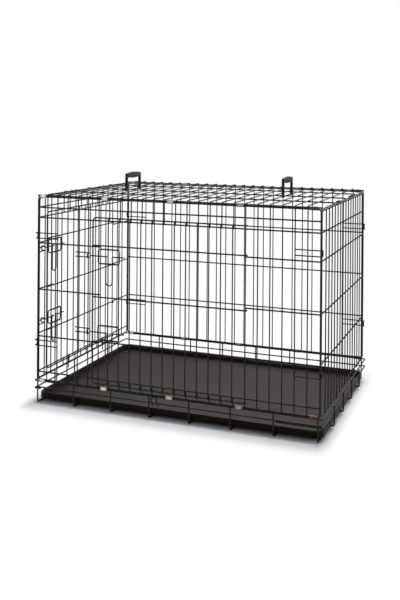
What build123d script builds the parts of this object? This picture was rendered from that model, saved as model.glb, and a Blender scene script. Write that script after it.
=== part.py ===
from build123d import *
from math import cos, pi, radians, sin, tan
import os

# Folding wire dog crate, in millimetres. X runs along the crate, the front is at -Y and Z is up.
# Places are written from the middle of the wire box, with the floor at zero.

# Overall sizes, to wire centres
length = 1070.0
width = 711.0
panel_top = 756.0
lip_top = 77.5
lip_middle = 54.6

# Wire sizes and fits
grid_d = 4.0
rail_d = 5.0
bolt_d = 4.4
run = 0.3
rail_sides = 8
grid_sides = 6
wide_bend = 2
tight_bend = 1

# Grid of the long panels and of the end panels
long_pitches = 25
end_pitches = 16
end_edge_gap = 2.5
panel_corner = 8.0
clip_spacing = rail_d + run

# Cross rails, by height or by their drop from the panels' top
head_drop = 76.5
brow_drop = 39.0
end_drop = 6.0
doorway_top = panel_top - head_drop
doorway_bottom = 112.0
brow_rail = panel_top - brow_drop
side_rails = (586.0, 415.0)
low_rail = 252.0
back_rails = (591.0, 423.0, low_rail)
end_rails = (doorway_top, *side_rails, low_rail)
end_top = panel_top - end_drop
end_floor_gap = 8.5

# Base
floor_cross_count = 8
floor_long_count = 4
floor_bend = 10.0
base_reach = 11.0
lip_bend = 5.0
lap_length = 160.0
lap_tail = 20.0

# Doors and their bolts
front_doorway = (6, 19)
end_doorway = (2, 13)
door_lap = 21.5
door_head_lap = 12.0
door_sill_lap = 13.0
door_top = doorway_top + door_head_lap
door_bottom = doorway_bottom - door_sill_lap
door_rails = (592.0, 408.0)
door_corner = 14.0
bolt_heights = (556.0, 285.0)
guide_inset = 30.0
guide_length = 84.0
guide_height = 51.0
guide_corner = 8.0
bolt_nose = 3.0
bolt_tail = 131.0
bolt_bend = 3.0
pull_centre = 76.0
pull_width = 26.0
pull_drop = 100.0
front_keeper_reach = 60.0
end_keeper_reach = 40.0
keeper_gap = 12.0
keeper_height = 15.5
keeper_stand = 18.0
eye_bend = 3.0
eye_turns = 6

# Corner catches, hangers and foot hooks of the end panels
catch_heights = (614.0, 220.0)
catch_gap = 19.5
catch_pitches = 2
catch_gap_x = 0.7
catch_overlap = 1.5
hanger_bays = (5, 10)
hanger_length = 74.0
hanger_turns = 5
foot_hook_bays = (5, 11)
foot_hook_end = 62.0

# Hinge clips
clip_bays = (0, 6, 12, 18, 24)
clip_width = 26.0
clip_wall = 1.0
clip_chamfer = 1.6

# Tray
tray_gap_x = 2.5
tray_gap_y = 6.5
tray_rim_z = 33.0
tray_wall = 2.5
tray_rim = 6.0
tray_lean = 6.0
tray_corner = 42.0
tray_skirt = 19.5

# Carry handles
handle_bays = (5, 20)
handle_span = 110.0
handle_height = 65.0
handle_y = -15.0
handle_leg = 11.0
handle_thickness = 9.0
grip_depth = 15.0
grip_crown = 4.0
handle_foot_r = 6.0
handle_foot_length = 14.0
handle_fit = 0.08
snap_slot = 3.2

# Stay hook on the front lip
stay_wire = 3
stay_offset = 9.714
stay_width = 20.0
stay_kick = 6.0
stay_bend = 4.0
stay_top = 76.0
stay_end = 46.0

# Places that follow from the sizes
half_length = length / 2
upright_y = width / 2
rail_y = upright_y - (grid_d + rail_d) / 2
catch_y = upright_y + grid_d
stub_y = rail_y + rail_d
lip_x = half_length + base_reach
stub_x = lip_x + rail_d
foot_z = rail_d / 2
floor_z = foot_z + rail_d
panel_bottom = lip_top + clip_spacing
top_z = panel_top + clip_spacing
cross_z = top_z + (rail_d + grid_d) / 2
pivot_z = top_z - rail_d
end_x = half_length + rail_d / 2 + grid_d / 2 + run
end_rail_x = end_x - (grid_d + rail_d) / 2
end_y = rail_y - rail_d - end_edge_gap
end_bottom = lip_top + end_floor_gap
long_pitch = length / long_pitches
end_pitch = 2 * end_y / end_pitches
door_rail_v = grid_d / 2 + run + rail_d / 2
door_upright_v = door_rail_v + (rail_d + grid_d) / 2
bolt_v = door_upright_v + grid_d / 2 + run + bolt_d / 2
guide_v = bolt_v + bolt_d / 2 + run + grid_d / 2
rail_corner = rail_d / 2 / cos(pi / grid_sides)
bolt_corner = bolt_d / 2 / cos(pi / grid_sides)
pull_v = guide_v + grid_d / 2 + run + bolt_corner
spacer_d = bolt_d + 2 * run
beside = grid_d / cos(pi / grid_sides)

nodes = {}


def section(at, along, facing, diameter, sides):
    """The end face of a wire: round, or a polygon with a flat facing one way."""
    face = Plane(origin=at, x_dir=facing, z_dir=along)
    if sides == 0:
        return face * Circle(diameter / 2)
    return face * RegularPolygon(diameter / 2, sides, major_radius=False, rotation=180 / sides)


def bar(start, end, diameter, facing, sides=rail_sides):
    """A straight wire."""
    along = Vector(*end) - Vector(*start)
    return extrude(section(start, along, facing, diameter, sides), along.length)


def bent(points, diameter, facing, radius, sides=rail_sides, flats=wide_bend, closed=False):
    """A wire bent at each inner point, with every bend in one or two short flats."""
    corners = [Vector(*p) for p in points]
    count = len(corners)
    route = [] if closed else [corners[0]]
    for i in range(0 if closed else 1, count if closed else count - 1):
        before = (corners[i - 1] - corners[i]).normalized()
        after = (corners[(i + 1) % count] - corners[i]).normalized()
        half = before.get_angle(after) / 2
        centre = corners[i] + (before + after).normalized() * (radius / sin(radians(half)))
        from_start = corners[i] + before * (radius / tan(radians(half))) - centre
        from_end = corners[i] + after * (radius / tan(radians(half))) - centre
        turn = pi - 2 * radians(half)
        for step in range(flats + 1):
            share = step / flats
            mixed = from_start * sin((1 - share) * turn) + from_end * sin(share * turn)
            route.append(centre + mixed * (1 / sin(turn)))
    if not closed:
        route.append(corners[-1])
    return swept(route, diameter, facing, sides, closed)


def swept(route, diameter, facing, sides=rail_sides, closed=False):
    """A wire along straight lengths with mitred joints."""
    path = Polyline(*route, close=closed)
    face = section(path @ 0, path % 0, facing, diameter, sides)
    return sweep(face, path=path, transition=Transition.RIGHT)


def curl(start_angle, end_angle, turns, radius):
    """Corners of a polygon drawn round a circle, as sideways and forward shares."""
    step = radians(end_angle - start_angle) / turns
    out = radius / cos(step / 2)
    angles = [radians(start_angle) + step * (k + 0.5) for k in range(turns)]
    return [(out * cos(a), out * sin(a)) for a in angles]


def long_x(index):
    return -half_length + index * long_pitch


def end_u(index):
    return -end_y + index * end_pitch


def on_front(u, v, z):
    """A place by its distance along the front, out from the front uprights, and up."""
    return (u, -upright_y - v, z)


def on_left(u, v, z):
    """A place by its distance along the left end, out from its uprights, and up."""
    return (-end_x - v, u, z)


# Base: J-ended floor wires both ways, with two lip rails all round.
# The middle rail is a straight front wire and a second wire lapped under it at both corners.
first_cross = -half_length + lip_bend
cross_step = -2 * first_cross / (floor_cross_count - 1)
nodes["floor_cross_wires"] = [
    bent(
        [(x, -stub_y, lip_top), (x, -stub_y, foot_z), (x, stub_y, foot_z), (x, stub_y, lip_top)],
        rail_d,
        (0, 1, 0),
        floor_bend,
        grid_sides,
    )
    for x in [first_cross + i * cross_step for i in range(floor_cross_count)]
]
nodes["floor_long_wires"] = [
    bent(
        [(-stub_x, y, lip_top), (-stub_x, y, floor_z), (stub_x, y, floor_z), (stub_x, y, lip_top)],
        rail_d,
        (1, 0, 0),
        floor_bend,
        grid_sides,
    )
    for y in [rail_y * (2 * (i + 1) / (floor_long_count + 1) - 1) for i in range(floor_long_count)]
]
nodes["lip_top_rail"] = [
    bent(
        [
            (lip_x, -rail_y, lip_top),
            (lip_x, rail_y, lip_top),
            (-lip_x, rail_y, lip_top),
            (-lip_x, -rail_y, lip_top),
        ],
        rail_d,
        (0, 0, 1),
        lip_bend,
        flats=tight_bend,
        closed=True,
    )
]
front_end = lip_x - lip_bend
nodes["lip_front_rail"] = [
    bar((-front_end, -rail_y, lip_middle), (front_end, -rail_y, lip_middle), rail_d, (0, 0, 1))
]
wrap_z = lip_middle - rail_d
nodes["lip_wrap_rail"] = [
    bent(
        [
            (lip_x - lap_length, -rail_y, wrap_z),
            (lip_x, -rail_y, wrap_z),
            (lip_x, rail_y, wrap_z),
            (-lip_x, rail_y, wrap_z),
            (-lip_x, -rail_y, wrap_z),
            (-lip_x + lip_bend + lap_tail, -rail_y, wrap_z),
        ],
        rail_d,
        (0, 0, 1),
        lip_bend,
        flats=tight_bend,
    )
]
stay_y = rail_y + (rail_d + grid_d) / 2
stay_x = first_cross + stay_wire * cross_step + stay_offset
stay_far = stay_x + stay_width
stay_knee = stay_end + 2 * stay_kick
nodes["lip_stay_hook"] = [
    bent(
        [
            (stay_x + stay_kick, -stay_y, stay_end),
            (stay_x, -stay_y, stay_knee),
            (stay_x, -stay_y, stay_top),
            (stay_far, -stay_y, stay_top),
            (stay_far, -stay_y, stay_knee),
            (stay_far + stay_kick, -stay_y, stay_end),
        ],
        grid_d,
        (0, 1, 0),
        stay_bend,
        grid_sides,
    )
]


def panel_frame(half_x, y, bottom, top):
    """A panel's edge wire, standing across Y, bent round all four corners."""
    corners = [(half_x, y, bottom), (half_x, y, top), (-half_x, y, top), (-half_x, y, bottom)]
    return bent(corners, rail_d, (0, 1, 0), panel_corner, closed=True)


def end_frame(x):
    """An end panel's edge wire, standing across X."""
    corners = [
        (x, end_y, end_bottom),
        (x, end_y, end_top),
        (x, -end_y, end_top),
        (x, -end_y, end_bottom),
    ]
    return bent(corners, rail_d, (1, 0, 0), panel_corner, closed=True)


# Front panel: edge wire, uprights outside it and rails between its posts, with a doorway.
post_face = half_length - rail_d / 2
upright_ends = (panel_bottom - rail_d / 2, panel_top + rail_d / 2)
over_doorway = doorway_top - rail_d / 2
under_doorway = doorway_bottom + rail_d / 2
hinge_x = long_x(front_doorway[1])
latch_x = long_x(front_doorway[0])


def upright(place, u, bottom, top, facing, sides=grid_sides):
    return bar(place(u, 0, bottom), place(u, 0, top), grid_d, facing, sides)


nodes["front_frame"] = [panel_frame(half_length, -rail_y, panel_bottom, panel_top)]
nodes["front_uprights"] = []
for i in range(1, long_pitches):
    if front_doorway[0] < i < front_doorway[1]:
        spans = [(upright_ends[0], under_doorway), (over_doorway, upright_ends[1])]
    else:
        spans = [upright_ends]
    sides = 0 if i == front_doorway[1] else grid_sides
    nodes["front_uprights"] += [upright(on_front, long_x(i), a, b, (0, 1, 0), sides) for a, b in spans]


def front_rail(x1, x2, z):
    return bar((x1, -rail_y, z), (x2, -rail_y, z), rail_d, (0, 0, 1))


full_rails = (brow_rail, doorway_top, doorway_bottom)
nodes["front_rails"] = [front_rail(-post_face, post_face, z) for z in full_rails]
for z in side_rails:
    nodes["front_rails"].append(front_rail(-post_face, latch_x + grid_d / 2, z))
    nodes["front_rails"].append(front_rail(hinge_x - grid_d / 2, post_face, z))

# Back panel: a plain grid of the same build.
nodes["back_frame"] = [panel_frame(half_length, rail_y, panel_bottom, panel_top)]
nodes["back_uprights"] = [
    bar((x, upright_y, upright_ends[0]), (x, upright_y, upright_ends[1]), grid_d, (0, 1, 0), grid_sides)
    for x in [long_x(i) for i in range(1, long_pitches)]
]
nodes["back_rails"] = [
    bar((-post_face, rail_y, z), (post_face, rail_y, z), rail_d, (0, 0, 1)) for z in back_rails
]

# Top panel: five long wires, cross wires on top of them, and round end wires that carry the end panels.
# The end wires stop short of the front and back edge wires, whose bent corners stand under the top's edges.
top_reach_x = half_length + rail_d / 2
top_reach_y = rail_y + rail_d / 2
end_wire_reach = rail_y - rail_d / 2 - run
nodes["top_long_wires"] = [
    bar((-top_reach_x, y, top_z), (top_reach_x, y, top_z), rail_d, (0, 0, 1))
    for y in [-rail_y + k * rail_y / 2 for k in range(5)]
]
nodes["top_cross_wires"] = [
    bar(
        (long_x(i), -top_reach_y, cross_z),
        (long_x(i), top_reach_y, cross_z),
        grid_d,
        (0, 0, 1),
        0 if i in handle_bays else grid_sides,
    )
    for i in range(1, long_pitches)
]
nodes["top_end_wires"] = [
    bar((x, -end_wire_reach, pivot_z), (x, end_wire_reach, pivot_z), rail_d, (0, 0, 1), 0)
    for x in (-half_length, half_length)
]

# End panels, inside the long panels so that they swing in and up under the top.
end_upright_ends = (end_bottom - rail_d / 2, end_top + rail_d / 2)
end_post_face = end_y - rail_d / 2


def on_right(u, v, z):
    return (end_x + v, u, z)


def end_rail(x, y1, y2, z):
    return bar((x, y1, z), (x, y2, z), rail_d, (0, 0, 1))


nodes["right_frame"] = [end_frame(end_rail_x)]
nodes["right_uprights"] = [
    upright(on_right, end_u(i), *end_upright_ends, (1, 0, 0)) for i in range(1, end_pitches)
]
nodes["right_rails"] = [end_rail(end_rail_x, -end_post_face, end_post_face, z) for z in end_rails]

nodes["left_frame"] = [end_frame(-end_rail_x)]
nodes["left_uprights"] = []
for i in range(1, end_pitches):
    if end_doorway[0] < i < end_doorway[1]:
        spans = [(end_upright_ends[0], under_doorway), (over_doorway, end_upright_ends[1])]
    else:
        spans = [end_upright_ends]
    sides = 0 if i == end_doorway[1] else grid_sides
    nodes["left_uprights"] += [upright(on_left, end_u(i), a, b, (1, 0, 0), sides) for a, b in spans]
nodes["left_rails"] = [end_rail(-end_rail_x, -end_post_face, end_post_face, z) for z in full_rails]
for z in (*side_rails, low_rail):
    latch_side = end_u(end_doorway[0]) + grid_d / 2
    hinge_side = end_u(end_doorway[1]) - grid_d / 2
    nodes["left_rails"].append(end_rail(-end_rail_x, -end_post_face, latch_side, z))
    nodes["left_rails"].append(end_rail(-end_rail_x, hinge_side, end_post_face, z))


# Hangers: wires beside two neighbouring uprights, curled in over the top panel's end wire.
# Foot hooks: straight wires beside two uprights that hang down inside the base lip.
def hanger(side, y):
    reach = end_x - half_length
    turn = curl(0, 250, hanger_turns, reach)
    route = [(side * end_x, y, pivot_z - hanger_length)]
    route += [(side * (half_length + out), y, pivot_z + up) for out, up in turn]
    tip = curl(230, 270, 1, reach)[0]
    route.append((side * (half_length + tip[0]), y, pivot_z + tip[1]))
    return swept(route, grid_d, (1, 0, 0), grid_sides)


def foot_hook(side, y):
    at = side * end_x
    return bar((at, y, foot_hook_end), (at, y, under_doorway), grid_d, (1, 0, 0), grid_sides)


hanger_places = []
for bay in hanger_bays:
    hanger_places += [end_u(bay) + beside, end_u(bay + 1) - beside]
foot_hook_places = [end_u(foot_hook_bays[0]) - beside, end_u(foot_hook_bays[1]) + beside]
for name, side in (("left", -1), ("right", 1)):
    nodes[f"{name}_hangers"] = [hanger(side, y) for y in hanger_places]
    nodes[f"{name}_foot_hooks"] = [foot_hook(side, y) for y in foot_hook_places]


# Doors: a frame wire and two rails whose ends curl round an upright, with uprights outside them.
def hinge_eye(place, hinge_u, z):
    """Corners of a curl round the hinge upright, from its outer side on."""
    return [place(hinge_u + a, b, z) for a, b in reversed(curl(-180, 90, eye_turns, door_rail_v))]


def eye_end(place, hinge_u, z):
    return place(hinge_u - door_rail_v, 0, z)


def door_frame(place, sideways, hinge_u, edge_u):
    lower = [(hinge_u, door_bottom), (edge_u + door_corner, door_bottom)]
    corner = [(edge_u, door_bottom + door_corner), (edge_u, door_top - door_corner)]
    upper = [(edge_u + door_corner, door_top), (hinge_u, door_top)]
    slack = door_corner * (1 - cos(pi / 4))
    cut_low = (edge_u + slack, door_bottom + slack)
    cut_high = (edge_u + slack, door_top - slack)
    flat = [lower[1], cut_low, *corner, cut_high, upper[0]]
    route = [eye_end(place, hinge_u, door_bottom)]
    route += list(reversed(hinge_eye(place, hinge_u, door_bottom)))
    route += [place(u, door_rail_v, z) for u, z in flat]
    route += hinge_eye(place, hinge_u, door_top)
    route.append(eye_end(place, hinge_u, door_top))
    return swept(route, rail_d, sideways, grid_sides)


def door_rail(place, facing, hinge_u, edge_u, z):
    route = [place(edge_u + rail_corner, door_rail_v, z)]
    route += hinge_eye(place, hinge_u, z)
    route.append(eye_end(place, hinge_u, z))
    return swept(route, rail_d, facing, grid_sides)


def door_uprights(place, facing, places):
    ends = (door_bottom - rail_d / 2, door_top + rail_d / 2)
    return [
        bar(place(u, door_upright_v, ends[0]), place(u, door_upright_v, ends[1]), grid_d, facing, grid_sides)
        for u in places
    ]


# Slide bolt: one bent wire held between the door's uprights and a standing-off guide loop.
# Its pull hangs out through the loop. The keeper is a hairpin on the panel with a standing eye.
def bolt_guide(place, facing, edge_u, z):
    u1 = edge_u + guide_inset
    u2 = u1 + guide_length
    low = z - guide_height / 2
    high = z + guide_height / 2
    corners = [(u2, low), (u2, high), (u1, high), (u1, low)]
    corners = [place(u, guide_v, level) for u, level in corners]
    loop = bent(corners, grid_d, facing, guide_corner, grid_sides, tight_bend, closed=True)
    ends = (u1 + guide_corner, u2 - guide_corner)
    spacers = [
        bar(place(ends[0], bolt_v, level), place(ends[1], bolt_v, level), spacer_d, (0, 0, 1))
        for level in (low, high)
    ]
    return [loop, *spacers]


def bolt(place, facing, edge_u, z):
    u1 = edge_u + pull_centre - pull_width / 2
    u2 = u1 + pull_width
    low = z - pull_drop
    route = [place(edge_u - bolt_nose, bolt_v, z)]
    route += [place(u1, bolt_v, z), place(u1, pull_v, z), place(u1, pull_v, low)]
    route += [place(u2, pull_v, low), place(u2, pull_v, z), place(u2, bolt_v, z)]
    route.append(place(edge_u + bolt_tail, bolt_v, z))
    return bent(route, bolt_d, facing, bolt_bend, grid_sides, tight_bend)


def keeper(place, facing, edge_u, reach, z):
    u1 = edge_u - keeper_gap - reach
    u2 = edge_u - keeper_gap
    high = z + keeper_height / 2
    low = z - keeper_height / 2
    out = grid_d + keeper_stand
    route = [place(u1, grid_d, high), place(u2, grid_d, high), place(u2, out, high)]
    route += [place(u2, out, low), place(u2, grid_d, low), place(u1, grid_d, low)]
    return bent(route, grid_d, facing, eye_bend, grid_sides, tight_bend)


front_edge_u = latch_x - door_lap
front_bars = [long_x(i) for i in range(front_doorway[0] + 1, front_doorway[1])]
end_hinge_u = end_u(end_doorway[1])
end_edge_u = end_u(end_doorway[0]) - door_lap
end_bars = [end_u(i) for i in range(end_doorway[0] + 1, end_doorway[1])]
doors = (
    ("front", on_front, (1, 0, 0), (0, 1, 0), hinge_x, front_edge_u, front_keeper_reach, front_bars),
    ("end", on_left, (0, 1, 0), (1, 0, 0), end_hinge_u, end_edge_u, end_keeper_reach, end_bars),
)
for name, place, sideways, facing, hinge_u, edge_u, reach, bars in doors:
    nodes[f"{name}_door_frame"] = [door_frame(place, sideways, hinge_u, edge_u)]
    nodes[f"{name}_door_rails"] = [door_rail(place, facing, hinge_u, edge_u, z) for z in door_rails]
    nodes[f"{name}_door_uprights"] = door_uprights(place, facing, bars)
    nodes[f"{name}_bolt_guides"] = []
    for z in bolt_heights:
        nodes[f"{name}_bolt_guides"] += bolt_guide(place, facing, edge_u, z)
    nodes[f"{name}_bolt_keepers"] = [keeper(place, facing, edge_u, reach, z) for z in bolt_heights]
    nodes[f"{name}_bolt_upper"] = [bolt(place, facing, edge_u, bolt_heights[0])]
    nodes[f"{name}_bolt_lower"] = [bolt(place, facing, edge_u, bolt_heights[1])]


# Corner catches: hairpin wires on the long panels whose bights reach in behind the end panels' posts.
def catch(side_x, side_y, z):
    bight_x = end_rail_x + rail_d / 2 + catch_gap_x + grid_d / 2
    bight_y = end_y + rail_d / 2 - catch_overlap + grid_d / 2
    start_x = half_length - catch_pitches * long_pitch
    high = z + catch_gap / 2
    low = z - catch_gap / 2
    flat = [(start_x, catch_y, high), (bight_x, catch_y, high), (bight_x, bight_y, high)]
    flat += [(bight_x, bight_y, low), (bight_x, catch_y, low), (start_x, catch_y, low)]
    route = [(side_x * x, side_y * y, level) for x, y, level in flat]
    return bent(route, grid_d, (0, 1, 0), grid_d, grid_sides, tight_bend)


for name, side_y in (("front", -1), ("back", 1)):
    nodes[f"{name}_catches"] = [catch(side_x, side_y, z) for side_x in (-1, 1) for z in catch_heights]


# Hinge clips: sheet bands folded round the pair of wires at each long edge.
def clip(x, y, z):
    inner_y = rail_d + 2 * run
    inner_z = inner_y + clip_spacing
    outer_y = inner_y + 2 * clip_wall
    outer_z = inner_z + 2 * clip_wall
    outer_chamfer = clip_chamfer + clip_wall * (2 - 2**0.5)
    face = Plane(origin=(x - clip_width / 2, y, z), x_dir=(0, 1, 0), z_dir=(1, 0, 0))
    outer = Rectangle(outer_y, outer_z)
    inner = Rectangle(inner_y, inner_z)
    band = chamfer(outer.vertices(), outer_chamfer) - chamfer(inner.vertices(), clip_chamfer)
    return extrude(face * band, clip_width)


for name, y in (("front", -rail_y), ("back", rail_y)):
    for level, z in (("bottom", lip_top), ("top", panel_top)):
        nodes[f"{name}_{level}_clips"] = [
            clip(long_x(bay + 0.5), y, z + clip_spacing / 2) for bay in clip_bays
        ]

# Tray: a pan with sloping walls and a rim that turns down round its edge, lying on the floor wires.
tray_x = 2 * (lip_x - rail_d / 2 - tray_gap_x)
tray_y = 2 * (rail_y - rail_d / 2 - tray_gap_y)
tray_floor = floor_z + rail_d / 2


def tray_outline(z, inset):
    corner = tray_corner - inset / 2
    return Pos(0, 0, z) * RectangleRounded(tray_x - 2 * inset, tray_y - 2 * inset, corner)


tray_foot = tray_rim + tray_lean
pan = loft([tray_outline(tray_floor, tray_foot), tray_outline(tray_rim_z, tray_rim)], ruled=True)
pan += extrude(tray_outline(tray_rim_z - tray_wall, 0), tray_wall)
pan += extrude(tray_outline(tray_rim_z - tray_wall - tray_skirt, 0), tray_skirt) - extrude(
    tray_outline(tray_rim_z - tray_wall - tray_skirt, tray_wall), tray_skirt
)
pan -= loft(
    [
        tray_outline(tray_floor + tray_wall, tray_foot + tray_wall),
        tray_outline(tray_rim_z, tray_rim + tray_wall),
    ],
    ruled=True,
)
nodes["tray"] = [pan]


# Carry handles: moulded bails that stand along a cross wire and snap round it with open feet.
def handle(x):
    half = handle_span / 2
    top = handle_height
    outline = Polyline(
        (half + handle_leg / 2, 0),
        (half + handle_leg / 2, top),
        close=False,
    )
    crown = ThreePointArc((half + handle_leg / 2, top), (0, top + grip_crown), (-half - handle_leg / 2, top))
    left = Polyline((-half - handle_leg / 2, top), (-half - handle_leg / 2, 0), (-half + handle_leg / 2, 0))
    inner_top = top - grip_depth
    rise = Line((-half + handle_leg / 2, 0), (-half + handle_leg / 2, inner_top))
    under = ThreePointArc(
        (-half + handle_leg / 2, inner_top), (0, inner_top - grip_crown), (half - handle_leg / 2, inner_top)
    )
    right = Polyline(
        (half - handle_leg / 2, inner_top), (half - handle_leg / 2, 0), (half + handle_leg / 2, 0)
    )
    face = make_face(outline + crown + left + rise + under + right)
    middle = Plane(origin=(x - handle_thickness / 2, handle_y, cross_z), x_dir=(0, 1, 0), z_dir=(1, 0, 0))
    bail = extrude(middle * face, handle_thickness)
    for y in (handle_y - half, handle_y + half):
        across = Plane(origin=(x, y - handle_foot_length / 2, cross_z), x_dir=(1, 0, 0), z_dir=(0, 1, 0))
        bail += extrude(across * RegularPolygon(handle_foot_r, 8, rotation=22.5), handle_foot_length)
    for y in (handle_y - half, handle_y + half):
        across = Plane(origin=(x, y - handle_foot_length / 2, cross_z), x_dir=(1, 0, 0), z_dir=(0, 1, 0))
        bail -= extrude(across * Circle(grid_d / 2 + handle_fit), handle_foot_length)
        slot = Pos(x, y, cross_z - handle_foot_r) * Box(snap_slot, handle_foot_length, 2 * handle_foot_r)
        bail -= slot
    return bail


for name, bay in zip(("left", "right"), handle_bays):
    nodes[f"{name}_handle"] = [handle(long_x(bay))]

# The finished crate is moved so that the origin is on the floor under the middle of its box.
left_reach = end_x + pull_v + bolt_corner
right_reach = stub_x + rail_d / 2
front_reach = upright_y + pull_v + bolt_corner
back_reach = catch_y + grid_d / 2
to_origin = Pos((left_reach - right_reach) / 2, (front_reach - back_reach) / 2, 0)
os.makedirs("parts", exist_ok=True)
for name, solids in nodes.items():
    export_step(to_origin * Compound(children=solids), f"parts/{name}.step")
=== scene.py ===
from math import cos, pi, radians, sin, tan

import bmesh
import bpy
from mathutils import Matrix, Vector


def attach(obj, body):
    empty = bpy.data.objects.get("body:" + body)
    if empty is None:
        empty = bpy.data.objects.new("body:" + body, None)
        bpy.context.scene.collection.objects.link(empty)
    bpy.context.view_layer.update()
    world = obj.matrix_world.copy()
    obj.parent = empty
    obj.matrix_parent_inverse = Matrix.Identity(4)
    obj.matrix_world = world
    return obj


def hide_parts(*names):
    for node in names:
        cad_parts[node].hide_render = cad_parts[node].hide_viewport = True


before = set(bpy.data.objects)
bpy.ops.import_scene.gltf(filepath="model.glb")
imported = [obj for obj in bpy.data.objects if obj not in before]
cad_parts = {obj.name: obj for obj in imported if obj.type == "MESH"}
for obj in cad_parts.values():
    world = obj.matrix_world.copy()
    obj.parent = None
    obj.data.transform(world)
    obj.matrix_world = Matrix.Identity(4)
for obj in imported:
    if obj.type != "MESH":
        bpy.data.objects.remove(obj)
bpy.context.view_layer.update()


# Base floor: steel wires laid both ways and bent up at their ends, spot-welded and coated black.
# The cross wires stand on the floor, and the long wires lie on them.
# Sizes are in millimetres from the middle of the wire box.
mm = 0.001
middle = Vector((5.99, 9.84, 0)) * mm
rail_wire = 5.0
coat_depth = 0.12
lip_top = 77.5
stub_x = 551.0
stub_y = 356.0
rail_y = 351.0
floor_bend = 10.0
floor_cross_x = 530.0
floor_cross_z = 2.5
floor_long_z = 7.5
cross_count = 8
long_count = 4


class Shade:
    """A value, colour or direction inside a finish, so that sums of them read as sums."""

    def __init__(self, tree, socket=None):
        self.tree = tree
        self.socket = socket

    def node(self, kind, settings, inputs, output=0):
        made = self.tree.nodes.new("ShaderNode" + kind)
        stops = settings.pop("stops", None)
        for key, value in settings.items():
            setattr(made, key, value)
        if stops:
            for element, (place, colour) in zip(made.color_ramp.elements, stops):
                element.position = place
                element.color = colour
        for key, value in inputs.items():
            if isinstance(value, Shade):
                self.tree.links.new(value.socket, made.inputs[key])
            else:
                made.inputs[key].default_value = value
        return Shade(self.tree, made.outputs[output])

    def maths(self, operation, first, second):
        return self.node("Math", {"operation": operation}, {0: first, 1: second})

    def __add__(self, other):
        return self.maths("ADD", self, other)

    def __radd__(self, other):
        return self.maths("ADD", other, self)

    def __sub__(self, other):
        return self.maths("SUBTRACT", self, other)

    def __rsub__(self, other):
        return self.maths("SUBTRACT", other, self)

    def __mul__(self, other):
        return self.maths("MULTIPLY", self, other)

    def __rmul__(self, other):
        return self.maths("MULTIPLY", other, self)

    def __pow__(self, other):
        return self.maths("POWER", self, other)

    def blend(self, low, high):
        """A colour between two others, with this value as the share of the second."""
        return self.node("Mix", {"data_type": "RGBA"}, {0: self, 6: low, 7: high}, 2)


def new_finish(name):
    """A material with its shader, and the piece's own coordinates to draw on."""
    material = bpy.data.materials.new(name)
    material.use_nodes = True
    shader = material.node_tree.nodes["Principled BSDF"]
    place = Shade(material.node_tree).node("TexCoord", {}, {}, "Object")
    return material, shader, place


def lay(shader, place, **sockets):
    """Links what varies over a surface to the shader's sockets."""
    for key, value in sockets.items():
        place.tree.links.new(value.socket, shader.inputs[key.replace("_", " ")])


wire_black, shader, place = new_finish("wire_black")
cloud = place.node("TexNoise", {}, {"Vector": place, "Scale": 9.0, "Detail": 3.0})
flow = place.node("TexNoise", {}, {"Vector": place, "Scale": 130.0, "Detail": 4.0})
peel = place.node("TexNoise", {}, {"Vector": place, "Scale": 1400.0, "Detail": 2.0})
normal = place.node("NewGeometry", {}, {}, "Normal")
upward = place.node("SeparateXYZ", {}, {0: normal}, "Z")
dust = place.node("Math", {"operation": "MULTIPLY", "use_clamp": True}, {0: upward, 1: flow * 0.16})
paint = cloud.blend((0.006, 0.005, 0.006, 1), (0.014, 0.012, 0.012, 1))
lay(
    shader,
    place,
    Base_Color=dust.blend(paint, (0.085, 0.078, 0.074, 1)),
    Roughness=0.38 + flow * 0.16 + cloud * 0.10,
    Normal=place.node("Bump", {}, {"Strength": 0.12, "Distance": 0.0003, "Height": peel + flow}),
)
shader.inputs["Specular IOR Level"].default_value = 0.22


def pick(test):
    """Selects the corners of the piece in hand whose places pass a test."""
    mesh = bmesh.from_edit_mesh(bpy.context.object.data)
    for vertex in mesh.verts:
        vertex.select = test(vertex.co)
    mesh.select_flush_mode()
    bmesh.update_edit_mesh(bpy.context.object.data)


wire_sides = 12
bend_step = radians(18)
end_ease = 0.13


def close_end(at, heading, thickness):
    """Closes a cut end of the wire in hand and takes its sharp edge off."""
    bpy.ops.mesh.select_mode(type="VERT")
    pick(lambda co: abs((co - at).dot(heading)) < 1e-5 and (co - at).length < thickness * mm)
    bpy.ops.mesh.edge_face_add()
    bpy.ops.mesh.bevel(offset=end_ease * thickness * mm, segments=2, affect="EDGES")


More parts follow.
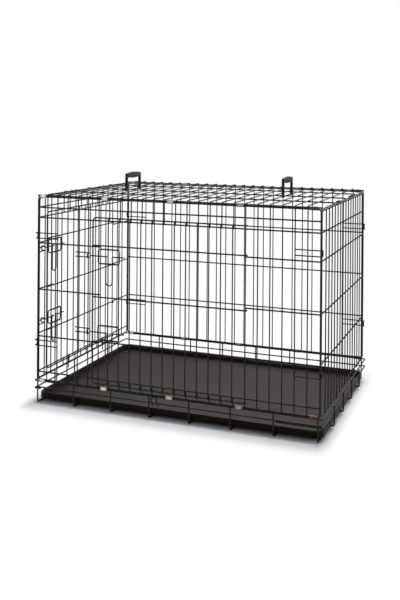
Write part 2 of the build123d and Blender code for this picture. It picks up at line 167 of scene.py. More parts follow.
def wire(points, thickness, bend=4.0, ring=False, curl=None):
    """One wire: a round outline fed along each straight length and spun round each bend.
    The bends share one radius or have one each. A curl at its end is its axis, angle and radius."""
    corners = [Vector(p) * mm for p in points]
    radii = bend if isinstance(bend, list) else [bend] * len(corners)
    if ring:
        start = (corners[-1] + corners[0]) / 2
        corners = [start, *corners, start]
    heading = (corners[1] - corners[0]).normalized()
    first_heading = heading.copy()
    bpy.ops.object.select_all(action="DESELECT")
    bpy.ops.mesh.primitive_circle_add(
        vertices=wire_sides,
        radius=(thickness / 2 + coat_depth) * mm,
        location=corners[0],
        rotation=heading.to_track_quat("Z", "Y").to_euler(),
    )
    piece = bpy.context.object
    bpy.ops.object.transform_apply()
    bpy.ops.object.mode_set(mode="EDIT")
    bpy.ops.mesh.select_all(action="SELECT")
    here = corners[0]
    for i in range(1, len(corners)):
        turn = 0
        set_back = 0
        if i + 1 < len(corners):
            onward = (corners[i + 1] - corners[i]).normalized()
            turn = heading.angle(onward)
            radius = radii[i - 1] * mm
            set_back = radius * tan(turn / 2)
        stop = corners[i] - heading * set_back
        bpy.ops.mesh.extrude_region_move(TRANSFORM_OT_translate={"value": stop - here})
        here = stop
        if turn:
            axis = heading.cross(onward).normalized()
            centre = stop + axis.cross(heading) * radius
            steps = max(3, round(turn / bend_step))
            bpy.ops.mesh.spin(steps=steps, angle=-turn, center=centre, axis=axis)
            heading = onward
            here = corners[i] + onward * set_back
    if curl:
        axis = Vector(curl[0])
        turn = radians(curl[1])
        centre = here + axis.cross(heading) * curl[2] * mm
        bpy.ops.mesh.spin(steps=round(turn / bend_step), angle=-turn, center=centre, axis=axis)
        around = Matrix.Rotation(turn, 3, axis)
        here = centre + around @ (here - centre)
        heading = around @ heading
    if ring:
        bpy.ops.mesh.select_all(action="SELECT")
        bpy.ops.mesh.remove_doubles(threshold=1e-5)
    else:
        close_end(here, heading, thickness)
        close_end(corners[0], first_heading, thickness)
    bpy.ops.mesh.select_all(action="SELECT")
    bpy.ops.mesh.normals_make_consistent(inside=False)
    bpy.ops.object.mode_set(mode="OBJECT")
    return piece


def row(piece, step, count):
    """Repeats a piece in an even row."""
    spread = piece.modifiers.new("row", "ARRAY")
    spread.use_relative_offset = False
    spread.use_constant_offset = True
    spread.constant_offset_displace = Vector(step) * mm
    spread.count = count
    bpy.context.view_layer.objects.active = piece
    bpy.ops.object.modifier_apply(modifier="row")
    return piece


def copy(piece, move=(0, 0, 0), flip=(1, 1, 1)):
    """A copy with its own mesh, flipped about the crate's middle planes and then moved."""
    twin = piece.copy()
    twin.data = piece.data.copy()
    bpy.context.collection.objects.link(twin)
    twin.data.transform(Matrix.Translation(Vector(move) * mm) @ Matrix.Diagonal((*flip, 1)))
    if flip[0] * flip[1] * flip[2] < 0:
        twin.data.flip_normals()
    return twin


def fit(pieces, node, body, finish=wire_black):
    """Joins the pieces of one node, puts them in the crate's place and hangs them on its body."""
    bpy.ops.object.select_all(action="DESELECT")
    for piece in pieces:
        piece.select_set(True)
    bpy.context.view_layer.objects.active = pieces[0]
    if len(pieces) > 1:
        bpy.ops.object.join()
    whole = bpy.context.object
    whole.name = "made_" + node
    whole.location = middle
    bpy.ops.object.transform_apply()
    bpy.ops.object.shade_smooth_by_angle(angle=radians(40))
    if finish:
        whole.data.materials.clear()
        whole.data.materials.append(finish)
    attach(whole, body)
    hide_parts(node)
    return whole


bead_size = 2.7
flat_x = (0.7, 1, 1)
flat_y = (1, 0.7, 1)
flat_z = (1, 1, 0.7)


def weld_row(start, step, count, squeeze):
    """Spot welds: small flattened beads where wires cross, in an even row."""
    bpy.ops.object.select_all(action="DESELECT")
    bpy.ops.mesh.primitive_uv_sphere_add(
        segments=8, ring_count=4, radius=bead_size * mm, location=Vector(start) * mm
    )
    bead = bpy.context.object
    bead.scale = squeeze
    bpy.ops.object.transform_apply()
    return row(bead, step, count)


cross_step = 2 * floor_cross_x / (cross_count - 1)
cross_wire = wire(
    [
        (-floor_cross_x, -stub_y, lip_top),
        (-floor_cross_x, -stub_y, floor_cross_z),
        (-floor_cross_x, stub_y, floor_cross_z),
        (-floor_cross_x, stub_y, lip_top),
    ],
    rail_wire,
    floor_bend,
)
fit([row(cross_wire, (cross_step, 0, 0), cross_count)], "floor_cross_wires", "crate")
long_step = 2 * rail_y / (long_count + 1)
first_long = -1.5 * long_step
long_wire = wire(
    [
        (-stub_x, first_long, lip_top),
        (-stub_x, first_long, floor_long_z),
        (stub_x, first_long, floor_long_z),
        (stub_x, first_long, lip_top),
    ],
    rail_wire,
    floor_bend,
)
floor_bead_z = (floor_cross_z + floor_long_z) / 2
floor_beads = []
for k in range(long_count):
    start = (-floor_cross_x, (k - 1.5) * long_step, floor_bead_z)
    floor_beads.append(weld_row(start, (cross_step, 0, 0), cross_count, flat_z))
fit([row(long_wire, (0, long_step, 0), long_count), *floor_beads], "floor_long_wires", "crate")


# Lip of the base: a closed top rail, a straight middle rail along the front, and a second middle
# rail that wraps the other sides and laps under the front one. A small hairpin stays the front.
lip_x = 546.0
lip_bend = 5.0
front_rail_x = 541.0
front_rail_z = 54.6
wrap_z = 49.6
lap_start = 386.0
lap_end = -521.0
grid_wire = 4.0
upright_y = 355.5
weld_x = lip_x + rail_wire / 2
weld_y = rail_y + rail_wire / 2
lip_bead_z = lip_top - 1
lip_corners = [
    (lip_x, -rail_y, lip_top),
    (lip_x, rail_y, lip_top),
    (-lip_x, rail_y, lip_top),
    (-lip_x, -rail_y, lip_top),
]
lip_beads = []
for side in (-1, 1):
    start = (-floor_cross_x, side * weld_y, lip_bead_z)
    lip_beads.append(weld_row(start, (cross_step, 0, 0), cross_count, flat_y))
    start = (side * weld_x, first_long, lip_bead_z)
    lip_beads.append(weld_row(start, (0, long_step, 0), long_count, flat_x))
fit([wire(lip_corners, rail_wire, lip_bend, ring=True), *lip_beads], "lip_top_rail", "crate")
front_rail = wire(
    [(-front_rail_x, -rail_y, front_rail_z), (front_rail_x, -rail_y, front_rail_z)], rail_wire
)
fit([front_rail], "lip_front_rail", "crate")
wrap = wire(
    [
        (lap_start, -rail_y, wrap_z),
        (lip_x, -rail_y, wrap_z),
        (lip_x, rail_y, wrap_z),
        (-lip_x, rail_y, wrap_z),
        (-lip_x, -rail_y, wrap_z),
        (lap_end, -rail_y, wrap_z),
    ],
    rail_wire,
    lip_bend,
)
fit([wrap], "lip_wrap_rail", "crate")
hairpin = [(-60, 46), (-66, 58), (-66, 76), (-46, 76), (-46, 58), (-40, 46)]
stay = wire([(x, -upright_y, z) for x, z in hairpin], grid_wire)
fit([stay], "lip_stay_hook", "crate")


# Tray: one moulded black pan that lies loose on the floor wires. Its walls slope out to a flat rim
# that turns down in a deep skirt. The floor is finely textured and a little scuffed.
tray_x = 541.0
tray_y = 342.0
tray_floor = 10.0
tray_rim = 30.5
tray_skin = 2.5
tray_corner = 30.0
rim_ease = 1.6
floor_margin = 12.0
wall_steps = ((4.4, tray_rim - tray_floor - 2), (2, 2), (1.1, 0), (2, -2), (0, -17.5))

tray_black, shader, place = new_finish("tray_black")
grain = place.node("TexNoise", {}, {"Vector": place, "Scale": 900.0, "Detail": 3.0, "Roughness": 0.6})
cloud = place.node("TexNoise", {}, {"Vector": place, "Scale": 5.0, "Detail": 4.0})
long_way = place.node("Mapping", {}, {"Vector": place, "Scale": (2.5, 60.0, 60.0)})
scuff = place.node("TexNoise", {}, {"Vector": long_way, "Scale": 4.0, "Detail": 6.0, "Roughness": 0.7})
marks = place.node("ValToRGB", {"stops": [(0.56, (0, 0, 0, 1)), (0.74, (1, 1, 1, 1))]}, {0: scuff})
plain = cloud.blend((0.0075, 0.0052, 0.0052, 1), (0.012, 0.0084, 0.0084, 1))
lay(
    shader,
    place,
    Base_Color=(marks * 0.25).blend(plain, (0.050, 0.044, 0.042, 1)),
    Roughness=0.42 + grain * 0.14 + marks * 0.10,
    Normal=place.node("Bump", {}, {"Strength": 0.22, "Distance": 0.0004, "Height": grain}),
)
shader.inputs["Specular IOR Level"].default_value = 0.09
shader.inputs["Specular Tint"].default_value = (1.0, 0.72, 0.73, 1)

foot_x = tray_x - floor_margin
foot_y = tray_y - floor_margin
bpy.ops.object.select_all(action="DESELECT")
bpy.ops.mesh.primitive_plane_add(size=2, location=(0, 0, tray_floor * mm))
pan = bpy.context.object
pan.scale = (foot_x * mm, foot_y * mm, 1)
bpy.ops.object.transform_apply()
bpy.ops.object.mode_set(mode="EDIT")
bpy.ops.mesh.select_all(action="SELECT")
bpy.ops.mesh.bevel(offset=tray_corner * mm, segments=8, affect="VERTICES")


def grow(half_x, half_y, out, up):
    """Draws the pan's open edge outwards and up, keeping an even margin."""
    bpy.ops.mesh.extrude_region_move(TRANSFORM_OT_translate={"value": (0, 0, up * mm)})
    share = ((half_x + out) / half_x, (half_y + out) / half_y, 1)
    bpy.ops.transform.resize(value=share, center_override=(0, 0, 0))
    return half_x + out, half_y + out


def thicken(piece, depth, side):
    """Gives the sheet in hand its thickness, outwards for 1 and inwards for -1."""
    wall = piece.modifiers.new("wall", "SOLIDIFY")
    wall.thickness = depth * mm
    wall.offset = side
    bpy.ops.object.modifier_apply(modifier="wall")


def ease_edges(piece, width, segments, angle):
    """Rounds the edges of the piece in hand that turn by more than an angle."""
    ease = piece.modifiers.new("ease", "BEVEL")
    ease.width = width * mm
    ease.segments = segments
    ease.limit_method = "ANGLE"
    ease.angle_limit = radians(angle)
    bpy.ops.object.modifier_apply(modifier="ease")


bpy.ops.mesh.select_mode(type="EDGE")
bpy.ops.mesh.select_all(action="SELECT")
bpy.ops.mesh.region_to_loop()
edge = (foot_x, foot_y)
for out, up in wall_steps:
    edge = grow(*edge, out, up)
bpy.ops.object.mode_set(mode="OBJECT")
thicken(pan, tray_skin, 1)
ease_edges(pan, rim_ease, 2, 25)
fit([pan], "tray", "tray", tray_black)


# Front panel: a bent edge wire with rails between its posts and uprights outside them, all welded.
# A tall doorway is left in it, and the upright at the doorway's right is the door's hinge pin.
half_length = 535.0
panel_bottom = 82.8
panel_top = 756.0
pitch = 42.8
panel_bend = 8.0
brow = 717.0
doorway_top = 679.5
doorway_bottom = 112.0
side_levels = (586, 415, 243)
bar_low = 80.3
bar_high = 758.5
above_door = 677.0
below_door = 114.5
rail_end = 532.5
doorway_side = 276.2
bar_count = 24
side_bars = 6
door_bars = 12
panel_corners = [
    (half_length, -rail_y, panel_bottom),
    (half_length, -rail_y, panel_top),
    (-half_length, -rail_y, panel_top),
    (-half_length, -rail_y, panel_bottom),
]


def bar_x(index):
    return -half_length + index * pitch


def upright(u, low, high):
    return wire([(u, -upright_y, low), (u, -upright_y, high)], grid_wire)


front_edge = [wire(panel_corners, rail_wire, panel_bend, ring=True)]
for z in (panel_bottom, panel_top):
    front_edge.append(weld_row((bar_x(1), -weld_y, z), (pitch, 0, 0), bar_count, flat_y))
back_edge = [copy(piece, flip=(1, -1, 1)) for piece in front_edge]
fit(front_edge, "front_frame", "crate")
full = row(upright(bar_x(1), bar_low, bar_high), (pitch, 0, 0), side_bars)
above = row(upright(bar_x(side_bars + 1), above_door, bar_high), (pitch, 0, 0), door_bars)
below = row(upright(bar_x(side_bars + 1), bar_low, below_door), (pitch, 0, 0), door_bars)
fit([full, copy(full, flip=(-1, 1, 1)), above, below], "front_uprights", "crate")
rails = []
for z in (brow, doorway_top, doorway_bottom):
    rails.append(wire([(-rail_end, -rail_y, z), (rail_end, -rail_y, z)], rail_wire))
    rails.append(weld_row((bar_x(1), -weld_y, z), (pitch, 0, 0), bar_count, flat_y))
for z in side_levels:
    short = wire([(-rail_end, -rail_y, z), (-doorway_side, -rail_y, z)], rail_wire)
    beads = weld_row((bar_x(1), -weld_y, z), (pitch, 0, 0), side_bars, flat_y)
    rails += [short, beads, copy(short, flip=(-1, 1, 1)), copy(beads, flip=(-1, 1, 1))]
fit(rails, "front_rails", "crate")


# Corner catches: springy hairpin wires welded to the last two uprights of the long panels.
# Their bights turn in behind the end panels' posts and hold them shut.
catch_y = 359.5
catch_levels = (614, 220)
catch_half = 9.75
catch_root = 449.4
bight_x = 540.5
bight_y = 346.5


def catch(z):
    high = z + catch_half
    low = z - catch_half
    route = [(catch_root, -catch_y, high), (bight_x, -catch_y, high), (bight_x, -bight_y, high)]
    route += [(bight_x, -bight_y, low), (bight_x, -catch_y, low), (catch_root, -catch_y, low)]
    return wire(route, grid_wire)


right_catches = [catch(z) for z in catch_levels]
left_catches = [copy(c, flip=(-1, 1, 1)) for c in right_catches]
back_catches = [copy(c, flip=(1, -1, 1)) for c in right_catches + left_catches]
fit(right_catches + left_catches, "front_catches", "crate")


# Doors: a U-shaped edge wire and three rails whose ends curl round the hinge upright, with uprights
# welded outside them. Places on a door are its distance along the panel, out from it, and up.
door_top = 691.5
door_bottom = 99.0
door_middle = (door_top + door_bottom) / 2
door_rail_v = 4.8
door_bar_v = 9.3
door_lap = 21.5
door_bend = 14.0
door_levels = (592, 408)
door_bar_low = 96.5
door_bar_high = 694.0
eye_turn = 270
end_x = 539.8
end_y = 343.5
end_pitch = 2 * end_y / 16


def on_front(u, v, z):
    return (u, -upright_y - v, z)


def on_left(u, v, z):
    return (-end_x - v, u, z)


def bar_y(index):
    return -end_y + index * end_pitch


front_door = {
    "name": "front",
    "place": on_front,
    "hinge": bar_x(19),
    "edge": bar_x(6) - door_lap,
    "turn": (0, 0, 1),
    "flat": flat_y,
    "bars": (bar_x(7), pitch, door_bars),
    "low": 249.5,
    "reach": 60,
}
end_door = {
    "name": "end",
    "place": on_left,
    "hinge": bar_y(13),
    "edge": bar_y(2) - door_lap,
    "turn": (0, 0, -1),
    "flat": flat_x,
    "bars": (bar_y(3), end_pitch, 10),
    "low": 245.5,
    "reach": 40,
}


def along(door, step):
    """A step along the door as a move in the crate's frame."""
    origin = Vector(door["place"](0, 0, 0))
    return Vector(door["place"](step, 0, 0)) - origin


def make_door(door):
    """A door's edge wire, its rails with their hinge eyes, and its uprights."""
    place = door["place"]
    hinge = door["hinge"]
    edge = door["edge"]
    start, step, count = door["bars"]
    route = [place(edge, door_rail_v, door_middle), place(edge, door_rail_v, door_top)]
    route.append(place(hinge, door_rail_v, door_top))
    eye = (door["turn"], eye_turn, door_rail_v)
    half = wire(route, rail_wire, door_bend, curl=eye)
    other = copy(half, (0, 0, 2 * door_middle), (1, 1, -1))
    bead_v = (door_rail_v + door_bar_v) / 2
    edge_pieces = [half, other]
    for z in (door_top, door_bottom):
        edge_pieces.append(weld_row(place(start, bead_v, z), along(door, step), count, door["flat"]))
    fit(edge_pieces, door["name"] + "_door_frame", door["name"] + "_door")
    rails = []
    for z in (*door_levels, door["low"]):
        route = [place(edge + rail_wire / 2, door_rail_v, z), place(hinge, door_rail_v, z)]
        rails.append(wire(route, rail_wire, curl=eye))
        rails.append(weld_row(place(start, bead_v, z), along(door, step), count, door["flat"]))
    fit(rails, door["name"] + "_door_rails", door["name"] + "_door")
    ends = [place(start, door_bar_v, door_bar_low), place(start, door_bar_v, door_bar_high)]
    bar = wire(ends, grid_wire)
    bars = row(bar, along(door, step), count)
    fit([bars], door["name"] + "_door_uprights", door["name"] + "_door")


make_door(front_door)


# Slide bolts: each is one bent wire caught between the door's uprights and a loop that stands off
# them on two spacers. Its pull hangs out through the loop, and its nose slides into a hairpin keeper.
bolt_levels = {"upper": 556.0, "lower": 285.0}
bolt_wire = 4.4
bolt_nose = 3.0
bolt_tail = 131.0
bolt_bends = [3.4, 3.4, 12.9, 12.9, 3.4, 3.4]
bolt_v = 13.8
loop_v = 18.3
pull_v = 23.14
loop_inset = 30.0
loop_length = 84.0
loop_half = 25.5
loop_bend = 8.0
spacer_wire = 5.0
pull_near = 63.0
pull_far = 89.0
pull_drop = 100.0
keeper_gap = 12.0
keeper_half = 7.75
keeper_v = 4.0
keeper_eye_v = 22.0
keeper_bend = 3.0


def make_bolts(door, panel_body):
    """A door's two bolts with their guide loops, and the keepers on its panel."""
    place = door["place"]
    edge = door["edge"]
    guides = []
    keepers = []
    for name, z in bolt_levels.items():
        u1 = edge + loop_inset
        u2 = u1 + loop_length
        low = z - loop_half
        high = z + loop_half
        corners = ((u2, low), (u2, high), (u1, high), (u1, low))
        loop = [place(u, loop_v, level) for u, level in corners]
        guides.append(wire(loop, grid_wire, loop_bend, ring=True))
        for level in (low, high):
            ends = [place(u1 + loop_bend, bolt_v, level), place(u2 - loop_bend, bolt_v, level)]
            guides.append(wire(ends, spacer_wire))
        near = edge + pull_near
        far = edge + pull_far
        drop = z - pull_drop
        route = [place(edge - bolt_nose, bolt_v, z), place(near, bolt_v, z), place(near, pull_v, z)]
        route += [place(near, pull_v, drop), place(far, pull_v, drop), place(far, pull_v, z)]
        route += [place(far, bolt_v, z), place(edge + bolt_tail, bolt_v, z)]
        bolt_node = door["name"] + "_bolt_" + name
        fit([wire(route, bolt_wire, bolt_bends)], bolt_node, bolt_node)
        eye = edge - keeper_gap
        root = eye - door["reach"]
        top = z + keeper_half
        foot = z - keeper_half
        route = [place(root, keeper_v, top), place(eye, keeper_v, top), place(eye, keeper_eye_v, top)]
        route += [place(eye, keeper_eye_v, foot), place(eye, keeper_v, foot), place(root, keeper_v, foot)]
        keepers.append(wire(route, grid_wire, keeper_bend))
    fit(guides, door["name"] + "_bolt_guides", door["name"] + "_door")
    fit(keepers, door["name"] + "_bolt_keepers", panel_body)


make_bolts(front_door, "crate")


# Back panel: the same bent edge wire and uprights, with three plain rails and no door.
# Its wires are welded as the front's are, and it has its own catches for the end panels.
back_levels = (591, 423, 252)
fit(back_edge, "back_frame", "crate")
back_bar = wire([(bar_x(1), upright_y, bar_low), (bar_x(1), upright_y, bar_high)], grid_wire)
fit([row(back_bar, (pitch, 0, 0), bar_count)], "back_uprights", "crate")
rails = []
for z in back_levels:
    rails.append(wire([(-rail_end, rail_y, z), (rail_end, rail_y, z)], rail_wire))
    rails.append(weld_row((bar_x(1), weld_y, z), (pitch, 0, 0), bar_count, flat_y))
fit(rails, "back_rails", "crate")
fit(back_catches, "back_catches", "crate")


# Top panel: five long wires with thinner cross wires welded on top of them. The two end wires
# underneath are the pins that the end panels hang and turn on.
top_z = 761.3
cross_z = 765.8
pin_z = 756.3
pin_y = 348.2
top_x = 537.5
top_bead_z = 763.8
top_count = 5
top_long = wire([(-top_x, -rail_y, top_z), (top_x, -rail_y, top_z)], rail_wire)
top_pieces = [row(top_long, (0, rail_y / 2, 0), top_count)]
for k in range(top_count):
    start = (bar_x(1), (k - 2) * rail_y / 2, top_bead_z)
    top_pieces.append(weld_row(start, (pitch, 0, 0), bar_count, flat_z))
fit(top_pieces, "top_long_wires", "crate")
top_cross = wire([(bar_x(1), -weld_y, cross_z), (bar_x(1), weld_y, cross_z)], grid_wire)
fit([row(top_cross, (pitch, 0, 0), bar_count)], "top_cross_wires", "crate")
pin = wire([(-half_length, -pin_y, pin_z), (-half_length, pin_y, pin_z)], rail_wire)
fit([pin, copy(pin, flip=(-1, 1, 1))], "top_end_wires", "crate")


# Hinge clips: bands of plated sheet folded round the two wires at each long edge, where the panels
# turn on each other. The ends of each band meet in a seam on the inside.
clip_size = Vector((26, 7.6, 12.9)) * mm
clip_wall = 1.0
clip_bend = 3.3
clip_rise = 2.65
seam_half = 0.4
clip_bays = (0, 6, 12, 18, 24)
half_gap = 3 * pitch * mm

clip_bright, shader, place = new_finish("clip_bright")
brushed = place.node("Mapping", {}, {"Vector": place, "Scale": (40.0, 900.0, 900.0)})
scratch = place.node("TexNoise", {}, {"Vector": brushed, "Scale": 3.0, "Detail": 4.0})
stain = place.node("TexNoise", {}, {"Vector": place, "Scale": 90.0, "Detail": 3.0})
# Painted shade: the band's upper and lower folds, where its surface faces up or down, are painted dark.
rising = place.node("SeparateXYZ", {}, {0: place.node("NewGeometry", {}, {}, "Normal")}, "Z")
painted_fold_shade = place.node("Math", {"operation": "ABSOLUTE"}, {0: rising}) ** 1.5
across = place.node("SeparateXYZ", {}, {0: place}, "X")
# Painted reflection: the plating is pale at the crate's left end and fades to dark brown at its right, in
# place of how the room is mirrored in the clips, with a little random stain.
painted_reflection_fade = place.node("MapRange", {}, {"Value": across + stain * 0.2, 1: -0.15, 2: 0.6, 3: 0.0, 4: 1.0})
# Painted highlight: each clip is left pale in its middle and painted darker towards its two ends.
on_clip = place.node("Math", {"operation": "WRAP"}, {0: across - middle.x, 1: half_gap, 2: -half_gap})
from_middle = place.node("Math", {"operation": "ABSOLUTE"}, {0: on_clip})
painted_end_shade = place.node(
    "MapRange", {}, {"Value": from_middle + stain * 0.004, 1: 0.006, 2: 0.015, 3: 0.0, 4: 0.8}
)
# The plate colour carries the painted reflection fade from pale to dark brown.
plate = painted_reflection_fade.blend((0.74, 0.66, 0.61, 1), (0.055, 0.037, 0.021, 1))
# The painted fold and end shade turns the plate dark brown.
plate_with_painted_shade = place.maths("MAXIMUM", painted_fold_shade, painted_end_shade).blend(plate, (0.10, 0.055, 0.045, 1))
lay(
    shader,
    place,
    Base_Color=plate_with_painted_shade,
    Roughness=0.24 + scratch * 0.24,
    Normal=place.node("Bump", {}, {"Strength": 0.15, "Distance": 0.0002, "Height": scratch}),
)
shader.inputs["Metallic"].default_value = 0.9

bpy.ops.object.select_all(action="DESELECT")
bpy.ops.mesh.primitive_cube_add(size=1)
band = bpy.context.object
band.scale = clip_size
bpy.ops.object.transform_apply()
bpy.ops.object.mode_set(mode="EDIT")
bpy.ops.mesh.select_mode(type="FACE")
mesh = bmesh.from_edit_mesh(band.data)
for face in mesh.faces:
    face.select = abs(face.normal.x) > 0.9
bmesh.update_edit_mesh(band.data)
bpy.ops.mesh.delete(type="ONLY_FACE")
bpy.ops.mesh.select_mode(type="EDGE")
mesh = bmesh.from_edit_mesh(band.data)
for each in mesh.edges:
    each.select = abs(each.verts[0].co.x - each.verts[1].co.x) > 20 * mm
bmesh.update_edit_mesh(band.data)
bpy.ops.mesh.bevel(offset=clip_bend * mm, segments=5, affect="EDGES")
for seam_z in (-seam_half, seam_half):
    bpy.ops.mesh.select_all(action="SELECT")
    bpy.ops.mesh.bisect(plane_co=(0, 0, seam_z * mm), plane_no=(0, 0, 1))
bpy.ops.mesh.select_mode(type="FACE")
mesh = bmesh.from_edit_mesh(band.data)
for face in mesh.faces:
    centre = face.calc_center_median()
    face.select = abs(centre.z) < seam_half * mm and centre.y > 0
bmesh.update_edit_mesh(band.data)
bpy.ops.mesh.delete(type="FACE")
bpy.ops.object.mode_set(mode="OBJECT")
thicken(band, clip_wall, -1)
for name, y, flip in (("front", -rail_y, 1), ("back", rail_y, -1)):
    for level, z in (("bottom", lip_top), ("top", panel_top)):
        clips = [copy(band, (bar_x(bay + 0.5), y, z + clip_rise), (1, flip, 1)) for bay in clip_bays]
        fit(clips, f"{name}_{level}_clips", "crate", clip_bright)
bpy.data.objects.remove(band)


# End panels: edge wires that fit inside the long panels, hung from the top panel's end wires by
# curled hangers. Two hooks at the foot of each hang inside the lip. The left one has a doorway.
end_rail_x = 535.3
end_bottom = 86.0
end_top = 750.0
end_bead_x = end_rail_x + 2.2
end_rail_y = 341.0
end_levels = (586, 415, 252)
end_bar_low = 83.5
end_bar_high = 752.5
end_bars = 15
hanger_root = 682.3
hanger_curl = ((0, -1, 0), 250, 4.8)
hook_end = 62.0
beside = 4.62
end_corners = [
    (end_rail_x, end_y, end_bottom),
    (end_rail_x, end_y, end_top),
    (end_rail_x, -end_y, end_top),
    (end_rail_x, -end_y, end_bottom),
]
hanger = wire([(end_x, 0, hanger_root), (end_x, 0, pin_z)], grid_wire, curl=hanger_curl)
hook = wire([(end_x, 0, below_door), (end_x, 0, hook_end)], grid_wire)
hanger_places = [bar_y(5) + beside, bar_y(6) - beside, bar_y(10) + beside, bar_y(11) - beside]
hook_places = [bar_y(5) - beside, bar_y(11) + beside]
for name, side in (("left", -1), ("right", 1)):
    body = name + "_end"
    mirror = (side, 1, 1)
    edge = [wire(end_corners, rail_wire, panel_bend, ring=True)]
    for z in (end_bottom, end_top):
        edge.append(weld_row((end_bead_x, bar_y(1), z), (0, end_pitch, 0), end_bars, flat_x))
    fit([copy(piece, flip=mirror) for piece in edge], name + "_frame", body)
    for piece in edge:
        bpy.data.objects.remove(piece)
    fit([copy(hanger, (0, y, 0), mirror) for y in hanger_places], name + "_hangers", body)
    fit([copy(hook, (0, y, 0), mirror) for y in hook_places], name + "_foot_hooks", body)
bpy.data.objects.remove(hanger)
bpy.data.objects.remove(hook)


def end_bar(x, index, low, high):
    return wire([(x, bar_y(index), low), (x, bar_y(index), high)], grid_wire)


def end_rail(x, y1, y2, z):
    return wire([(x, y1, z), (x, y2, z)], rail_wire)


right_bar = end_bar(end_x, 1, end_bar_low, end_bar_high)
fit([row(right_bar, (0, end_pitch, 0), end_bars)], "right_uprights", "right_end")
rails = []
for z in (doorway_top, *end_levels):
    rails.append(end_rail(end_rail_x, -end_rail_y, end_rail_y, z))
    rails.append(weld_row((end_bead_x, bar_y(1), z), (0, end_pitch, 0), end_bars, flat_x))
fit(rails, "right_rails", "right_end")
bars = []
for first, low, high, count in (
    (1, end_bar_low, end_bar_high, 2),
    (13, end_bar_low, end_bar_high, 3),
    (3, above_door, end_bar_high, 10),
    (3, end_bar_low, below_door, 10),
):
    bars.append(row(end_bar(-end_x, first, low, high), (0, end_pitch, 0), count))
fit(bars, "left_uprights", "left_end")
rails = []
for z in (brow, doorway_top, doorway_bottom):
    rails.append(end_rail(-end_rail_x, -end_rail_y, end_rail_y, z))
    rails.append(weld_row((-end_bead_x, bar_y(1), z), (0, end_pitch, 0), end_bars, flat_x))
for z in end_levels:
    rails.append(end_rail(-end_rail_x, -end_rail_y, bar_y(2) + grid_wire / 2, z))
    rails.append(end_rail(-end_rail_x, bar_y(13) - grid_wire / 2, end_rail_y, z))
    rails.append(weld_row((-end_bead_x, bar_y(1), z), (0, end_pitch, 0), 2, flat_x))
    rails.append(weld_row((-end_bead_x, bar_y(13), z), (0, end_pitch, 0), 3, flat_x))
fit(rails, "left_rails", "left_end")

make_door(end_door)
make_bolts(end_door, "left_end")


# Carry handles: moulded black bails that push onto a cross wire with open feet and can tip over.
# The grip is a greyer, ribbed sleeve.
handle_black, shader, place = new_finish("handle_black")
grain = place.node("TexNoise", {}, {"Vector": place, "Scale": 1100.0, "Detail": 3.0})
cloud = place.node("TexNoise", {}, {"Vector": place, "Scale": 30.0, "Detail": 3.0})
lay(
    shader,
    place,
    Base_Color=cloud.blend((0.005, 0.0045, 0.0045, 1), (0.010, 0.009, 0.009, 1)),
    Roughness=0.42 + grain * 0.18,
    Normal=place.node("Bump", {}, {"Strength": 0.25, "Distance": 0.0003, "Height": grain}),
)
shader.inputs["Specular IOR Level"].default_value = 0.18
grip_grey, shader, place = new_finish("grip_grey")
grain = place.node("TexNoise", {}, {"Vector": place, "Scale": 800.0, "Detail": 3.0})
cloud = place.node("TexNoise", {}, {"Vector": place, "Scale": 40.0, "Detail": 3.0})
lay(
    shader,
    place,
    Base_Color=cloud.blend((0.110, 0.102, 0.096, 1), (0.190, 0.176, 0.166, 1)),
    Roughness=0.55 + grain * 0.20,
    Normal=place.node("Bump", {}, {"Strength": 0.30, "Distance": 0.0003, "Height": grain}),
)

half_span = 55.0
handle_y = -15.0
bail_size = Vector((9, 121, 15)) * mm
grip_z = cross_z + 57.5
bail_cuts = (-49.5, 49.5, -33, -16.5, 0, 16.5, 33)
leg_drop = 47.0
leg_start = 50.0
crown_steps = ((40, 1.3), (25, 1.5), (8, 1.2))
grip_top = cross_z + 64
grip_under = (cross_z + 45, cross_z + 51)
foot_z = cross_z + 4.04
foot_size = (3.92 * mm, 14 * mm, 1)
foot_turn = 143
rib_gap = 5.5
rib_width = 10.4
rib_length = 3.4
rib_height = 15.6
grip_sag = 4.0

bpy.ops.object.select_all(action="DESELECT")
bpy.ops.mesh.primitive_cube_add(size=1, location=(0, 0, grip_z * mm))
bail = bpy.context.object
bail.scale = bail_size
bpy.ops.object.transform_apply()
bpy.ops.object.mode_set(mode="EDIT")
for cut in bail_cuts:
    bpy.ops.mesh.select_all(action="SELECT")
    bpy.ops.mesh.bisect(plane_co=(0, cut * mm, 0), plane_no=(0, 1, 0))
bpy.ops.mesh.select_mode(type="FACE")
mesh = bmesh.from_edit_mesh(bail.data)
for face in mesh.faces:
    face.select = face.normal.z < -0.9 and abs(face.calc_center_median().y) > leg_start * mm
bmesh.update_edit_mesh(bail.data)
bpy.ops.mesh.extrude_region_move(TRANSFORM_OT_translate={"value": (0, 0, -leg_drop * mm)})
bpy.ops.mesh.select_mode(type="VERT")
for reach, rise in crown_steps:
    pick(lambda co: abs(co.y) < reach * mm and co.z > grip_top * mm)
    bpy.ops.transform.translate(value=(0, 0, rise * mm))
    pick(lambda co: abs(co.y) < reach * mm and grip_under[0] * mm < co.z < grip_under[1] * mm)
    bpy.ops.transform.translate(value=(0, 0, -rise * mm))
bpy.ops.object.mode_set(mode="OBJECT")
ease_edges(bail, 2.2, 3, 40)
bail.data.materials.append(handle_black)
bail.data.materials.append(grip_grey)
bail_parts = [bail]
for y in (-half_span, half_span):
    bpy.ops.object.select_all(action="DESELECT")
    start = Vector((0, y, foot_z)) * mm
    bpy.ops.mesh.primitive_plane_add(size=1, location=start, rotation=(0, pi / 2, 0))
    foot = bpy.context.object
    foot.scale = foot_size
    bpy.ops.object.transform_apply()
    bpy.ops.object.mode_set(mode="EDIT")
    bpy.ops.mesh.select_all(action="SELECT")
    centre = Vector((0, y, cross_z)) * mm
    bpy.ops.mesh.spin(steps=10, angle=radians(foot_turn), center=centre, axis=(0, 1, 0))
    bpy.ops.object.mode_set(mode="OBJECT")
    foot.data.materials.append(handle_black)
    bail_parts += [foot, copy(foot, flip=(-1, 1, 1))]
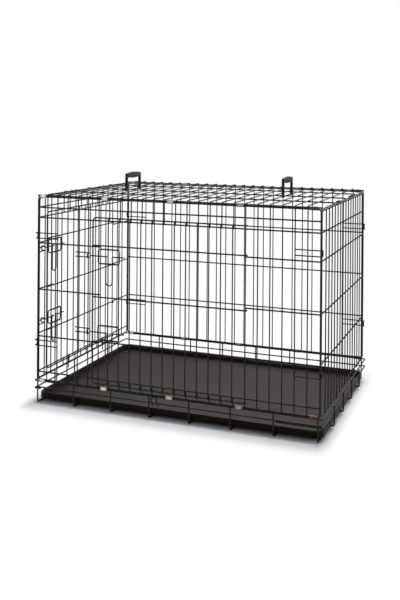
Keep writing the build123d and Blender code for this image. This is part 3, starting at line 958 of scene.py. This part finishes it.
for k in range(-8, 9):
    y = k * rib_gap
    bpy.ops.object.select_all(action="DESELECT")
    sag = grip_sag * (1 - (y / leg_start) ** 2)
    bpy.ops.mesh.primitive_cube_add(size=1, location=Vector((0, y, grip_z)) * mm)
    rib = bpy.context.object
    rib.scale = Vector((rib_width, rib_length, rib_height + 2 * sag)) * mm
    bpy.ops.object.transform_apply()
    ease_edges(rib, 1.4, 2, 30)
    rib.data.materials.append(grip_grey)
    bail_parts.append(rib)
bpy.ops.object.select_all(action="DESELECT")
for piece in bail_parts:
    piece.select_set(True)
bpy.context.view_layer.objects.active = bail
bpy.ops.object.join()
for name, x in (("left", bar_x(5)), ("right", bar_x(20))):
    fit([copy(bail, (x, handle_y, 0))], name + "_handle", name + "_handle", None)
bpy.data.objects.remove(bail)


# Studio: a white floor that keeps the crate's soft shadow, under broad even light.
# The shadow fades to plain white a short way from the base, sooner at the two ends.
crate_half = (0.535, 0.345, 0)
side_fade = (2.2, 1, 1)
fade_width = 0.125


def in_view(shade):
    """One for rays that the viewer follows, straight, mirrored or through glass, else zero."""
    straight = shade.node("LightPath", {}, {}, "Is Camera Ray")
    mirrored = shade.node("LightPath", {}, {}, "Is Glossy Ray")
    through = shade.node("LightPath", {}, {}, "Is Transmission Ray")
    return shade.maths("MAXIMUM", straight, shade.maths("MAXIMUM", mirrored, through))


floor_white, shader, place = new_finish("floor_white")
shader.inputs["Roughness"].default_value = 0.9
shader.inputs["Specular IOR Level"].default_value = 0.0
tree = floor_white.node_tree
seen = in_view(place)
lay(shader, place, Base_Color=seen.blend((0.45, 0.45, 0.47, 1), (0.85, 0.86, 0.91, 1)))
from_crate = place.node("VectorMath", {"operation": "SUBTRACT"}, {0: place, 1: middle})
from_crate = place.node("VectorMath", {"operation": "ABSOLUTE"}, {0: from_crate})
from_crate = place.node("VectorMath", {"operation": "SUBTRACT"}, {0: from_crate, 1: crate_half})
from_crate = place.node("VectorMath", {"operation": "MAXIMUM"}, {0: from_crate, 1: (0, 0, 0)})
from_crate = place.node("VectorMath", {"operation": "MULTIPLY"}, {0: from_crate, 1: side_fade})
away = place.node("VectorMath", {"operation": "LENGTH"}, {0: from_crate}, "Value")
far_share = place.node(
    "MapRange", {"interpolation_type": "SMOOTHSTEP"}, {"Value": away, 1: 0.0, 2: fade_width, 3: 0.0, 4: 1.0}
)
white = place.node("Emission", {}, {"Color": (1, 1, 1, 1), "Strength": 1.0})
surface = place.node("MixShader", {}, {0: seen * far_share, 1: Shade(tree, shader.outputs[0]), 2: white})
tree.links.new(surface.socket, tree.nodes["Material Output"].inputs["Surface"])
bpy.ops.object.select_all(action="DESELECT")
bpy.ops.mesh.primitive_plane_add(size=60)
floor = bpy.context.object
floor.name = "floor"
floor.data.materials.append(floor_white)

world = bpy.data.worlds.new("studio")
bpy.context.scene.world = world
world.use_nodes = True
air = Shade(world.node_tree)
shown = in_view(air)
backdrop = world.node_tree.nodes["Background"]
backdrop.inputs["Color"].default_value = (1, 1, 1, 1)
world.node_tree.links.new((0.14 + shown * 0.86).socket, backdrop.inputs["Strength"])


def lamp(name, place, target, size, power, colour):
    light = bpy.data.lights.new(name, "AREA")
    light.shape = "RECTANGLE"
    light.size = size[0]
    light.size_y = size[1]
    light.energy = power
    light.color = colour
    holder = bpy.data.objects.new(name, light)
    bpy.context.collection.objects.link(holder)
    holder.location = place
    holder.rotation_euler = (Vector(target) - Vector(place)).to_track_quat("-Z", "Y").to_euler()


lamp("back_key", (0.2, 2.4, 2.9), (0, 0, 0), (3.4, 1.6), 136, (1, 0.985, 0.965))
lamp("overhead", (0.2, 0.2, 3.4), (0, 0, 0), (3.2, 2.6), 12, (1, 0.985, 0.965))
lamp("right_window", (3.2, 1.0, 1.8), (0, 0, 0.4), (2.0, 1.6), 14, (1, 0.98, 0.96))
lamp("left_fill", (-2.4, -2.6, 1.6), (0, 0, 0.4), (1.8, 1.6), 14, (0.94, 0.97, 1))


# Camera: at the viewing angle of the picture, turned by less than half a degree about its axis.
# It looks level, with its frame slid down onto the crate.
turn = radians(19.92)
lean = radians(0.41)
right = Vector((cos(turn), sin(turn), 0))
up = Vector((0, 0, 1))
back = right.cross(up)
view = bpy.data.cameras.new("view")
view.lens = 47.35
view.shift_x = -0.0668
view.shift_y = -0.2977
view.clip_end = 100
holder = bpy.data.objects.new("view", view)
bpy.context.collection.objects.link(holder)
tilted_right = right * cos(lean) + up * sin(lean)
tilted_up = up * cos(lean) - right * sin(lean)
stand = Matrix((tilted_right, tilted_up, back)).transposed()
view_from = Vector((1155, -2838, 1039)) * mm + middle
holder.matrix_world = Matrix.Translation(view_from) @ stand.to_4x4()
bpy.context.scene.camera = holder
bpy.context.scene.view_settings.view_transform = "Standard"
